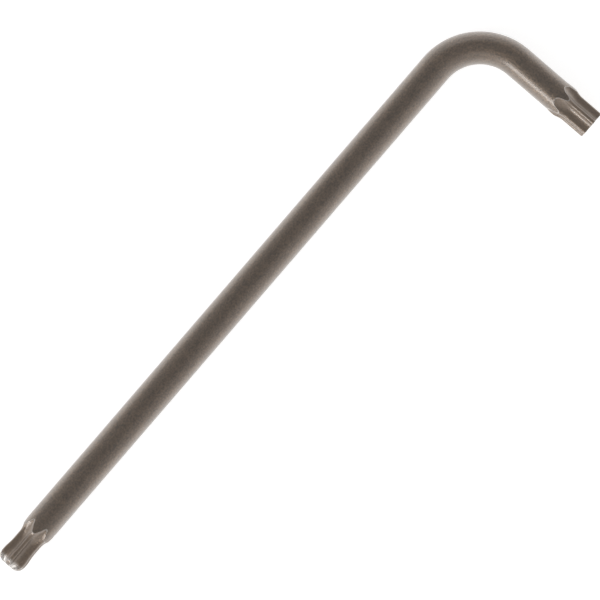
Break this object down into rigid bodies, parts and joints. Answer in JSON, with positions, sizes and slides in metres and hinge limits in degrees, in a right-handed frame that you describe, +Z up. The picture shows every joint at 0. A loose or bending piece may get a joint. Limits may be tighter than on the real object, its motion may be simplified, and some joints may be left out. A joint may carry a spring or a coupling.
{
  "type": "star key",
  "caption": "L-shaped hexalobular key bent from round bar, with a ball star on the long arm and a straight star on the short arm, for turning star-recess screws by hand.",
  "frame": {"origin": "on the surface that the key lies on, under the centre of its L-shaped outline", "axes": "+X along the long arm from the ball end towards the bend, +Y along the short arm from the star end towards the bend, +Z up from the surface"},
  "size_m": [0.1041, 0.0244, 0.0049],
  "materials": {
    "oxide_steel": "dark brown-black oxide on alloy steel, satin, brighter on the lobes' edges"
  },
  "bodies": {
    "root": {"ball_star_tip": "oxide_steel", "long_arm": "oxide_steel", "bend": "oxide_steel", "short_arm": "oxide_steel", "star_tip": "oxide_steel"}
  },
  "joints": []
}
